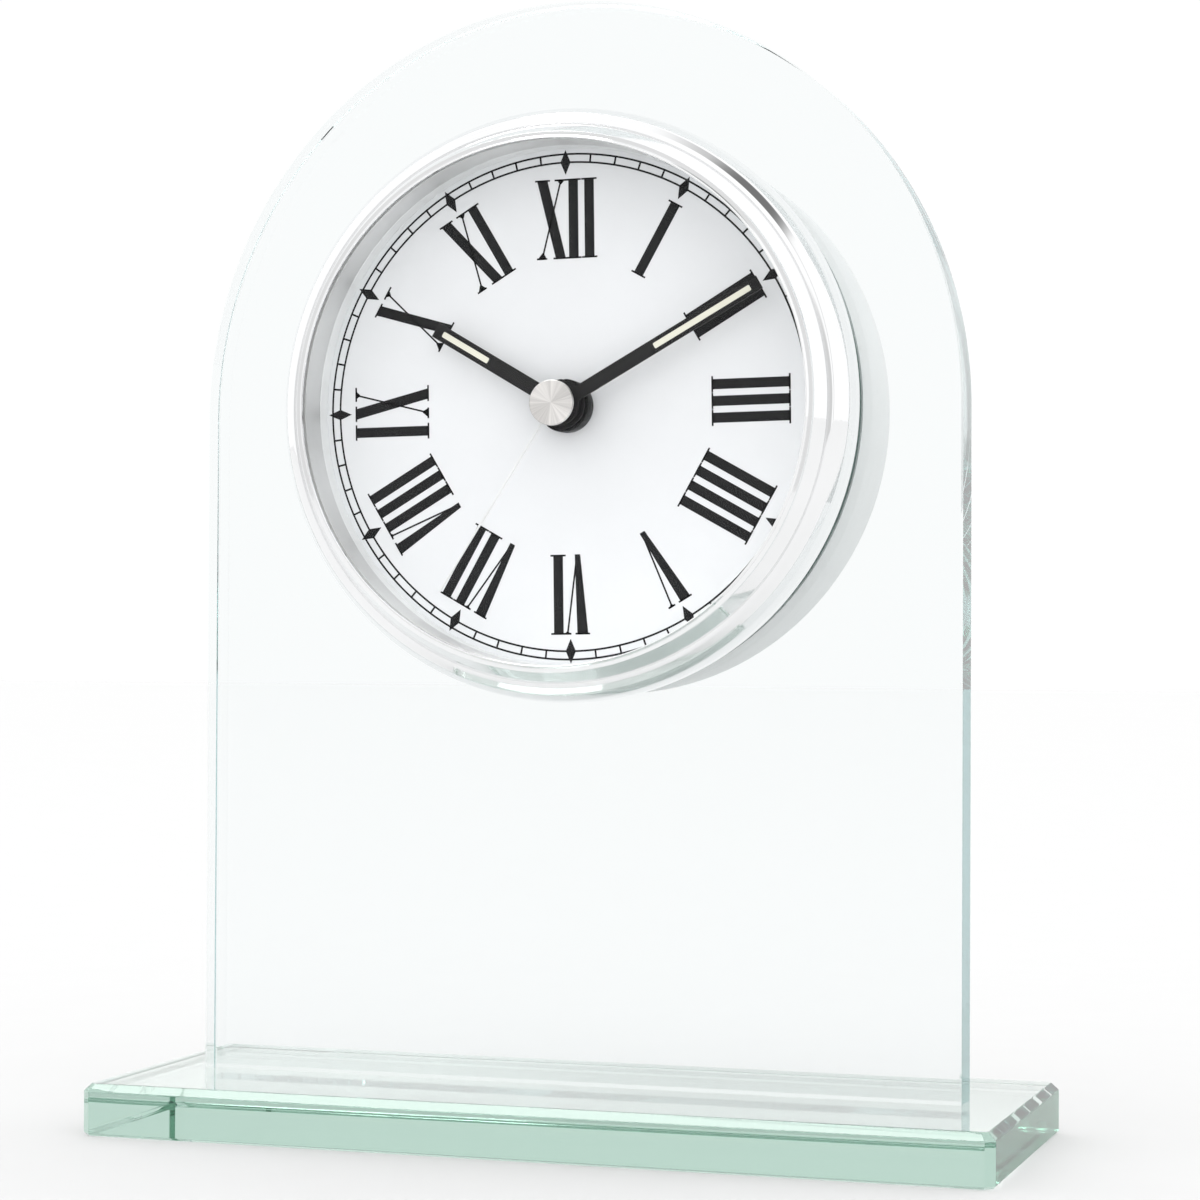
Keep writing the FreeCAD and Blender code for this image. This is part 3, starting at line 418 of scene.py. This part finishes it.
# ---- lens, sleeve and spacer ----
lensProfile = [(0.0, -17.08), (46.35, -17.08, 0.03), (46.35, -15.6, 0.03), (0.0, -15.6)]
lens = addTurned("lens", lensProfile, 2, 256, lensGlass, root, "lens", 30.0)
lens.visible_shadow = False
sleeveProfile = [(45.3, -15.58, 0.1), (46.4, -15.58, 0.1), (46.4, -8.62, 0.1),
                 (45.3, -8.62, 0.15)]
addTurned("innerRing", sleeveProfile, 3, 256, ringChrome, root, "inner_ring")
spacerProfile = [(45.3, -8.58, 0.15), (46.4, -8.58, 0.1), (46.4, -5.22, 0.1), (45.3, -5.22, 0.1)]
addTurned("dialSpacer", spacerProfile, 3, 256, spacerPlastic, root, "dial_spacer")

# ---- dial and its print ----
dialProfile = [(3.3, -5.2, 0.05), (46.35, -5.2, 0.05), (46.35, -4.7, 0.05), (3.3, -4.7, 0.05)]
addTurned("dial", dialProfile, 2, 256, dialWhite, root, "dial", 30.0)

printSize = {"turn": -0.93, "lift": 0.03, "thick": 0.02, "inner": 42.8, "outer": 44.25,
             "line": 0.33, "base": 25.9, "height": 14.0, "stem": 1.75, "hair": 0.31,
             "serif": 1.4, "diamondWide": 1.85, "diamondHigh": 4.35}
printY = dialY - printSize["lift"]


def flatSerif(left, right, low):
    high = low + printSize["hair"]
    return [(left, low), (right, low), (right, high), (left, high)]


def stroke(low, high, lowHalf, highHalf):
    return [(low[0] - lowHalf, low[1]), (low[0] + lowHalf, low[1]),
            (high[0] + highHalf, high[1]), (high[0] - highHalf, high[1])]


# The letters are drawn in millimetres, each from the middle of its first heavy stroke
def glyphI(at):
    half, top, serif = printSize["stem"] / 2, printSize["height"], printSize["serif"]
    stem = stroke((at, 0), (at, top), half, half)
    feet = [flatSerif(at - serif, at + serif, low) for low in (0, top - printSize["hair"])]
    return [stem] + feet


def glyphV(at):
    top, hair = printSize["height"], printSize["hair"]
    heavy = stroke((at + 0.85, 0), (at, top), 0.5, 1.0)
    thin = stroke((at + 1.15, 1.6), (at + 2.8, top), hair / 2, hair / 2)
    bracket = [(at + 2.15, top), (at + 2.7, top - 0.6), (at + 2.85, top - 0.6), (at + 3.5, top)]
    return [heavy, thin, bracket, flatSerif(at - 1.3, at + 1.35, top - hair),
            flatSerif(at + 2.1, at + 3.5, top - hair)]


def glyphX(at):
    top, hair = printSize["height"], printSize["hair"]
    heavy = stroke((at + 3.35, 0), (at, top), 0.92, 0.95)
    thin = stroke((at - 0.15, 0), (at + 3.5, top), hair / 2, hair / 2)
    upper = [(at + 2.6, top), (at + 3.3, top - 0.9), (at + 3.5, top - 0.9), (at + 4.3, top)]
    lower = [(at - 1.05, 0), (at - 0.05, 1.2), (at + 0.15, 1.2), (at + 0.8, 0)]
    return [heavy, thin, upper, lower,
            flatSerif(at - 1.3, at + 1.45, top - hair), flatSerif(at + 2.3, at + 4.8, top - hair),
            flatSerif(at - 1.1, at + 0.8, 0), flatSerif(at + 1.95, at + 4.8, 0)]


glyphs = {"I": glyphI, "V": glyphV, "X": glyphX}
# Advances from one letter to the next, by the pair
advances = {"II": 2.9, "IV": 3.1, "IX": 3.3, "VI": 4.4, "XI": 5.7}


def numeral(text):
    at, shapes = 0.0, []
    for i, letter in enumerate(text):
        if i:
            at += advances[text[i - 1] + letter]
        shapes += glyphs[letter](at)
    across = [u for shape in shapes for u, _ in shape]
    middle = (min(across) + max(across)) / 2
    return [[(u - middle, v) for u, v in shape] for shape in shapes]


def makeNumerals(size):
    verts, faces = [], []
    for hour, text in enumerate("XII I II III IIII V VI VII VIII IX X XI".split()):
        for shape in numeral(text):
            flat = [(u, printY, size["base"] + v) for u, v in shape]
            start = len(verts)
            verts += clockTurn(flat, 30 * hour + size["turn"])
            faces.append(tuple(range(start, start + len(flat))))
    return addPiece("dialNumerals", verts, faces, inkBlack, root, ())


makeNumerals(printSize)


def makeTrackTree():
    # Copies of one four-sided mark on the points of a circle; MarkTurn turns it before scaling
    tree = bpy.data.node_groups.new("minuteTrack", "GeometryNodeTree")
    kinds = {"Count": "Int", "Skip": "Int", "Radius": "Float", "Wide": "Float", "Long": "Float",
             "Thick": "Float", "MarkTurn": "Float", "Turn": "Float", "Ink": "Material"}
    for name, kind in kinds.items():
        tree.interface.new_socket(name, in_out="INPUT", socket_type="NodeSocket" + kind)
    tree.interface.new_socket("Geometry", in_out="OUTPUT", socket_type="NodeSocketGeometry")
    inside, outside = tree.nodes.new("NodeGroupInput"), tree.nodes.new("NodeGroupOutput")
    ring = tree.nodes.new("GeometryNodeMeshCircle")
    index = tree.nodes.new("GeometryNodeInputIndex")
    rest = addNode(tree, "ShaderNodeMath", operation="MODULO")
    skipped = addNode(tree, "ShaderNodeMath", operation="LESS_THAN")
    skipped.inputs[1].default_value = 0.5
    drop = addNode(tree, "GeometryNodeDeleteGeometry", domain="POINT")
    mark = addNode(tree, "GeometryNodeMeshCylinder", Vertices=4, Radius=1.0)
    pose = tree.nodes.new("GeometryNodeTransform")
    markTilt = tree.nodes.new("ShaderNodeCombineXYZ")
    shape = tree.nodes.new("GeometryNodeTransform")
    scale = addNode(tree, "ShaderNodeCombineXYZ", Z=1.0)
    place = tree.nodes.new("GeometryNodeInputPosition")
    align = addNode(tree, "FunctionNodeAlignRotationToVector", axis="Y")
    copies = tree.nodes.new("GeometryNodeInstanceOnPoints")
    stand = addNode(tree, "GeometryNodeTransform", Translation=(0, printY * mm, axisZ * mm))
    tilt = addNode(tree, "ShaderNodeCombineXYZ", X=math.pi / 2)
    real = tree.nodes.new("GeometryNodeRealizeInstances")
    ink = tree.nodes.new("GeometryNodeSetMaterial")
    linkAll(tree, [
        (inside.outputs["Count"], ring.inputs["Vertices"]),
        (inside.outputs["Radius"], ring.inputs["Radius"]),
        (index.outputs["Index"], rest.inputs[0]), (inside.outputs["Skip"], rest.inputs[1]),
        (rest.outputs["Value"], skipped.inputs[0]),
        (ring.outputs["Mesh"], drop.inputs["Geometry"]),
        (skipped.outputs["Value"], drop.inputs["Selection"]),
        (inside.outputs["MarkTurn"], markTilt.inputs["Z"]),
        (inside.outputs["Thick"], mark.inputs["Depth"]),
        (mark.outputs["Mesh"], pose.inputs["Geometry"]),
        (markTilt.outputs["Vector"], pose.inputs["Rotation"]),
        (pose.outputs["Geometry"], shape.inputs["Geometry"]),
        (inside.outputs["Wide"], scale.inputs["X"]), (inside.outputs["Long"], scale.inputs["Y"]),
        (scale.outputs["Vector"], shape.inputs["Scale"]),
        (drop.outputs["Geometry"], copies.inputs["Points"]),
        (shape.outputs["Geometry"], copies.inputs["Instance"]),
        (place.outputs["Position"], align.inputs["Vector"]),
        (align.outputs["Rotation"], copies.inputs["Rotation"]),
        (copies.outputs["Instances"], stand.inputs["Geometry"]),
        (inside.outputs["Turn"], tilt.inputs["Y"]),
        (tilt.outputs["Vector"], stand.inputs["Rotation"]),
        (stand.outputs["Geometry"], real.inputs["Geometry"]),
        (real.outputs["Geometry"], ink.inputs["Geometry"]),
        (inside.outputs["Ink"], ink.inputs["Material"]),
        (ink.outputs["Geometry"], outside.inputs["Geometry"])])
    return tree


trackTree = makeTrackTree()


def fromNodes(name, tree, values):
    holder = bpy.data.objects.new(name + "Maker", bpy.data.meshes.new(name + "Maker"))
    bpy.context.scene.collection.objects.link(holder)
    modifier = holder.modifiers.new("make", "NODES")
    modifier.node_group = tree
    for item in tree.interface.items_tree:
        if item.in_out == "INPUT" and item.name in values:
            modifier[item.identifier] = values[item.name]
    bpy.context.view_layer.update()
    graph = bpy.context.evaluated_depsgraph_get()
    mesh = bpy.data.meshes.new_from_object(holder.evaluated_get(graph))
    bpy.data.objects.remove(holder)
    return mesh


# A tick is the mark turned to stand square, so its corners lie half a root of two out
squareReach = math.sqrt(0.5)
trackShared = {"Thick": printSize["thick"] * mm, "Turn": math.radians(printSize["turn"]),
               "Ink": inkBlack}
ticks = fromNodes("minuteTicks", trackTree, {
    **trackShared, "Count": 60, "Skip": 5, "MarkTurn": math.pi / 4,
    "Radius": (printSize["inner"] + printSize["outer"]) / 2 * mm,
    "Wide": printSize["line"] * squareReach * mm,
    "Long": (printSize["outer"] - printSize["inner"]) * squareReach * mm})
print("track pieces", len(ticks.polygons))
diamonds = fromNodes("fiveMinuteDiamonds", trackTree, {
    **trackShared, "Count": 12, "Skip": 100, "MarkTurn": 0.0,
    "Radius": printSize["inner"] * mm,
    "Wide": printSize["diamondWide"] / 2 * mm,
    "Long": printSize["diamondHigh"] / 2 * mm})
finishPiece("minuteTicks", ticks, inkBlack, root, ())
finishPiece("fiveMinuteDiamonds", diamonds, inkBlack, root, ())


def makeTrackCircles(size):
    verts, faces = [], []
    half = size["line"] / 2
    for radius in (size["inner"], size["outer"]):
        edges = [(radius - half, printY), (radius + half, printY)]
        ringVerts, ringFaces = revolved(edges, 256, False)
        start = len(verts)
        verts += ringVerts
        faces += [tuple(start + i for i in face) for face in ringFaces]
    return addPiece("minuteCircles", verts, faces, inkBlack, root, ())


makeTrackCircles(printSize)
print("dial made")

# ---- hub: nut and washer ----
nutSize = {"radius": 4.65, "bore": 3.25, "front": -8.2, "back": -5.6, "flutes": 8, "depth": 0.12,
           "points": 192}


def makeNut(size):
    loop = []
    for i in range(size["points"]):
        turn = 2 * math.pi * i / size["points"]
        wave = max(0.0, math.cos(turn * size["flutes"])) ** 6
        radius = size["radius"] - size["depth"] * wave
        loop.append((radius * math.sin(turn), radius * math.cos(turn)))
    front = size["front"]
    levels = [(front, 0.25), (front + 0.12, 0.06), (front + 0.3, 0.0), (size["back"], 0.0)]
    verts, faces = slab(loop, [circleLoop(size["bore"], 96)], levels)
    verts = [(x, y, z + axisZ) for x, y, z in verts]
    return addPiece("dialNut", verts, faces, hubBlack, root, ["dial_nut"], 35.0)


makeNut(nutSize)
washerProfile = [(3.3, -5.6, 0.05), (4.65, -5.6, 0.08), (4.65, -5.22, 0.05), (3.3, -5.22, 0.05)]
addTurned("dialWasher", washerProfile, 2, 128, hubBlack, root, "dial_washer", 30.0)

# ---- hands ----
handSizes = {
    "hourHand": {"length": 27.0, "width": 2.7, "boss": 4.2, "bore": 2.08, "back": -8.9,
                 "front": -9.4, "angle": 300.5, "inlay": (15.6, 25.4),
                 "body": "hour_hand_group", "node": "hour_hand"},
    "minuteHand": {"length": 40.9, "width": 2.45, "boss": 3.6, "bore": 1.38, "back": -10.15,
                   "front": -10.65, "angle": 60.5, "inlay": (19.6, 39.1),
                   "body": "minute_hand_group", "node": "minute_hand"},
}
inlaySize = {"width": 1.05, "corner": 0.22, "gap": 0.01, "sunk": 0.1, "under": 0.05}
handEdge = 0.08


def slotLoop(low, high, half, corner, steps=6):
    # Rectangle with small round corners, counter-clockwise from the lower right
    loop = []
    for quarter, (side, end) in enumerate(((1, low), (1, high), (-1, high), (-1, low))):
        inward = 1 if end == low else -1
        for i in range(steps + 1):
            turn = math.pi / 2 * (quarter - 1 + i / steps)
            loop.append((side * (half - corner) + corner * math.cos(turn),
                         end + inward * corner + corner * math.sin(turn)))
    return loop


def makeHand(name, size, inlay):
    half, boss = size["width"] / 2, size["boss"]
    opening = math.asin(half / boss)
    loop = [(-half, size["length"]), (half, size["length"])]
    for i in range(97):
        turn = opening + (2 * math.pi - 2 * opening) * i / 96
        loop.append((boss * math.sin(turn), boss * math.cos(turn)))
    low, high = size["inlay"]
    front, back = size["front"], size["back"]
    levels = [(front, handEdge), (front + handEdge, 0.0), (back - handEdge, 0.0),
              (back, handEdge)]
    window = slotLoop(low, high, inlay["width"] / 2, inlay["corner"])
    verts, faces = slab(loop, [circleLoop(size["bore"], 64), window], levels)
    addPiece(name, clockTurn(verts, size["angle"]), faces, handBlack, size["body"],
             [size["node"]], 25.0)
    fill = slotLoop(low, high, inlay["width"] / 2 - inlay["gap"], inlay["corner"])
    verts, faces = slab(fill, [], [(front + inlay["sunk"], 0.0), (back - inlay["under"], 0.0)])
    addPiece(name + "Inlay", clockTurn(verts, size["angle"]), faces, inlayCream, size["body"],
             [size["node"] + "_inlay"], 25.0)


for handName, handSize in handSizes.items():
    makeHand(handName, handSize, inlaySize)

secondSize = {"length": 38.6, "width": 0.4, "taper": 0.7, "start": 1.0, "back": -13.6,
              "front": -13.9, "angle": 212.4, "collar": 1.3, "bore": 0.5, "collarFront": -14.4,
              "collarBack": -12.6}


def makeSecondHand(size):
    half, front = size["width"] / 2, size["front"]
    tip = half * size["taper"]
    loop = [(-tip, size["length"]), (tip, size["length"]), (half, size["start"]),
            (-half, size["start"])]
    verts, faces = slab(loop, [], [(front, 0.02), (front + 0.05, 0.0), (size["back"], 0.0)])
    verts = clockTurn(verts, size["angle"])
    collar = [(size["bore"], size["collarFront"]), (size["collar"], size["collarFront"], 0.1),
              (size["collar"], size["collarBack"], 0.15), (size["bore"], size["collarBack"])]
    ringVerts, ringFaces = revolved(filletProfile(collar, 3), 64)
    start = len(verts)
    verts += ringVerts
    faces += [tuple(start + i for i in face) for face in ringFaces]
    addPiece("secondHand", verts, faces, secondSilver, "second_hand_group", ["second_hand"],
             35.0)


makeSecondHand(secondSize)
capProfile = [(0.0, -15.2), (3.95, -15.2, 0.2), (3.95, -14.4, 0.08), (0.0, -14.4)]
addTurned("secondHandCap", capProfile, 5, 128, capSunrayAndPaintedSheen, "second_hand_group",
          "second_hand_cap", 35.0)
print("hands made")

# ---- gaskets ----
frontProfile = [(50.0, -4.48, 0.1), (51.2, -4.48, 0.15), (51.2, -4.02, 0.15), (50.0, -4.02, 0.1)]
addTurned("frontGasket", frontProfile, 3, 256, gasketRubber, root, "front_gasket")
rearProfile = [(49.45, 4.02, 0.1), (50.65, 4.02, 0.15), (50.65, 4.48, 0.15), (49.45, 4.48, 0.1)]
addTurned("rearGasket", rearProfile, 3, 256, gasketRubber, root, "rear_gasket")

# ---- finishes of the CAD nodes that stay ----
nodeFinish = {
    "bezel_screws": steel, "case_screws": steel, "rear_case": casePlastic,
    "battery_door": casePlastic, "dial_carrier": carrierPlasticPaintedLight, "setting_knob": knobPlastic,
    "rubber_washer": gasketRubber, "movement_front": movementPlastic,
    "movement_back": movementPlastic, "movement_bridge": bridgePlastic,
    "seconds_wheel": gearPlastic, "third_wheel": gearPlastic, "centre_wheel": gearPlastic,
    "middle_wheel": gearPlastic, "minute_pipe": gearPlastic, "motion_wheel": gearPlastic,
    "hour_wheel": gearPlastic, "setting_arbor": gearPlastic, "rotor": magnetMetal,
    "stator": steel, "coil": copperWire, "circuit_board": boardGreen, "quartz_crystal": steel,
    "battery": cellSleeve, "contact_plus": steel, "contact_minus": steel,
}
for nodeName, finish in nodeFinish.items():
    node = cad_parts[nodeName]
    node.data.materials.clear()
    node.data.materials.append(finish)
print("finishes set")

# ---- floor ----
floorReach, floorZ = 6.0, -0.0001
floorMesh = bpy.data.meshes.new("floor")
floorMesh.from_pydata([(x * floorReach, y * floorReach, floorZ)
                       for x, y in ((-1, -1), (1, -1), (1, 1), (-1, 1))], [], [(0, 1, 2, 3)])
floor = bpy.data.objects.new("floor", floorMesh)
bpy.context.scene.collection.objects.link(floor)
floorMesh.materials.append(grained("floorPaper", (0.63, 0.63, 0.63), rough=(0.8, 0.9), scale=8.0,
                                   bump=0.0, spread=0.004, specular=0.1))

# ---- studio: the backdrop is what the camera sees, and the fill lights what isn't shiny ----
# Mirror reflections see the open tone, with darker places in it; the cones are given as cosines
studio = {
    "backdrop": 1.01, "fill": 1.62, "open": 1.12,
    "cameraSide": {"toward": (-0.3, -0.95, 0.03), "inner": 0.96, "outer": 0.9, "tone": 0.8},
    "frontRight": {"toward": (0.33, -0.94, 0.05), "inner": 0.99, "outer": 0.95, "tone": 0.7},
    "flag": {"normal": (0.45, 0.89, 0.0), "inner": 0.04, "outer": 0.09, "tone": 0.62},
    "boom": {"toward": (0.47, -0.25, 0.85), "inner": 0.997, "outer": 0.965, "tone": 0.2},
}


def makeWorld(size):
    world = bpy.data.worlds.new("studio")
    bpy.context.scene.world = world
    world.use_nodes = True
    sky = world.node_tree
    background = sky.nodes["Background"]
    rays = sky.nodes.new("ShaderNodeLightPath")
    place = sky.nodes.new("ShaderNodeTexCoord")

    def along(direction):
        # Cosine between the ray and the direction
        cosine = addNode(sky, "ShaderNodeVectorMath", operation="DOT_PRODUCT")
        cosine.inputs[1].default_value = Vector(direction).normalized()
        sky.links.new(place.outputs["Generated"], cosine.inputs[0])
        return cosine.outputs["Value"]

    def softStep(value, zero, one):
        step = addNode(sky, "ShaderNodeMapRange", interpolation_type="SMOOTHSTEP",
                       **{"From Min": zero, "From Max": one})
        sky.links.new(value, step.inputs["Value"])
        return step.outputs["Result"]

    def calculate(operation, first, second=None, constant=None):
        node = addNode(sky, "ShaderNodeMath", operation=operation)
        sky.links.new(first, node.inputs[0])
        if second is not None:
            sky.links.new(second, node.inputs[1])
        if constant is not None:
            node.inputs[1].default_value = constant
        return node.outputs["Value"]

    def lobe(spot):
        # 1 inside a cone about the direction and 0 outside it
        return softStep(along(spot["toward"]), spot["outer"], spot["inner"])

    def strip(spot):
        # 1 on the great circle square to the normal, on the right side of the studio only
        distance = calculate("ABSOLUTE", along(spot["normal"]))
        split = sky.nodes.new("ShaderNodeSeparateXYZ")
        sky.links.new(place.outputs["Generated"], split.inputs["Vector"])
        right = softStep(split.outputs["X"], 0.0, 0.3)
        return calculate("MULTIPLY", softStep(distance, spot["outer"], spot["inner"]), right)

    def blend(factor, low, high):
        mix = addNode(sky, "ShaderNodeMix", data_type="FLOAT")
        for socket, value in zip(mix.inputs[:1] + mix.inputs[2:4], (factor, low, high)):
            if isinstance(value, float):
                socket.default_value = value
            else:
                sky.links.new(value, socket)
        return mix.outputs[0]

    tone = size["open"]
    for name, shape in (("cameraSide", lobe), ("frontRight", lobe), ("flag", strip),
                        ("boom", lobe)):
        tone = blend(shape(size[name]), tone, size[name]["tone"])
    # Only a reflection that has gone through no glass sees the studio
    direct = calculate("LESS_THAN", rays.outputs["Transmission Depth"], constant=0.5)
    glossy = calculate("MULTIPLY", rays.outputs["Is Glossy Ray"], direct)
    tone = blend(glossy, size["backdrop"], tone)
    diffuse = calculate("GREATER_THAN", rays.outputs["Diffuse Depth"], constant=0.5)
    tone = blend(diffuse, tone, size["fill"])
    sky.links.new(tone, background.inputs["Strength"])
    background.inputs["Color"].default_value = (1, 1, 1, 1)


makeWorld(studio)

# The softbox shows as a highlight on the polished edges; the white studio gives the even light
softboxSize = {"place": (-0.45, -0.24, 1.4), "target": (0, 0, 0.05), "wide": 0.7, "high": 0.5,
               "power": 7.0}


def addSoftbox(name, size):
    light = bpy.data.lights.new(name, "AREA")
    light.shape, light.energy = "RECTANGLE", size["power"]
    light.size, light.size_y = size["wide"], size["high"]
    box = bpy.data.objects.new(name, light)
    box.location = size["place"]
    toward = Vector(size["target"]) - Vector(size["place"])
    box.rotation_euler = toward.to_track_quat("-Z", "Y").to_euler()
    box.visible_diffuse = False
    bpy.context.scene.collection.objects.link(box)


addSoftbox("overhead", softboxSize)

# ---- camera, fitted to the photo: the focal length is in pixels of its frame ----
cameraFit = {"focal": 3210.578, "frame": 1200, "sensor": 36.0, "shift": 0.1, "yaw": 0.335,
             "pitch": -0.014, "roll": 0.005, "place": (0.170035, -0.540259, 0.085922),
             "near": 0.01, "far": 50.0}


def makeCamera(fit):
    data = bpy.data.cameras.new("camera")
    data.sensor_width = fit["sensor"]
    data.lens = fit["focal"] / fit["frame"] * fit["sensor"]
    data.shift_x = fit["shift"]
    data.clip_start, data.clip_end = fit["near"], fit["far"]
    camera = bpy.data.objects.new("camera", data)
    bpy.context.scene.collection.objects.link(camera)
    yaw, pitch, roll = fit["yaw"], fit["pitch"], fit["roll"]
    forward = Vector((-math.sin(yaw) * math.cos(pitch), math.cos(yaw) * math.cos(pitch),
                      -math.sin(pitch)))
    level = Vector((math.cos(yaw), math.sin(yaw), 0))
    upright = level.cross(forward)
    across = math.cos(roll) * level + math.sin(roll) * upright
    up = -math.sin(roll) * level + math.cos(roll) * upright
    turned = Matrix((across, up, -forward)).transposed().to_4x4()
    camera.matrix_world = Matrix.Translation(fit["place"]) @ turned
    return camera


bpy.context.scene.camera = makeCamera(cameraFit)

# Thick glass edges and nested rings need many bounces
scene = bpy.context.scene
scene.view_settings.view_transform = "Standard"
scene.cycles.max_bounces = 64
scene.cycles.transmission_bounces = 64
scene.cycles.glossy_bounces = 64
scene.cycles.transparent_max_bounces = 16
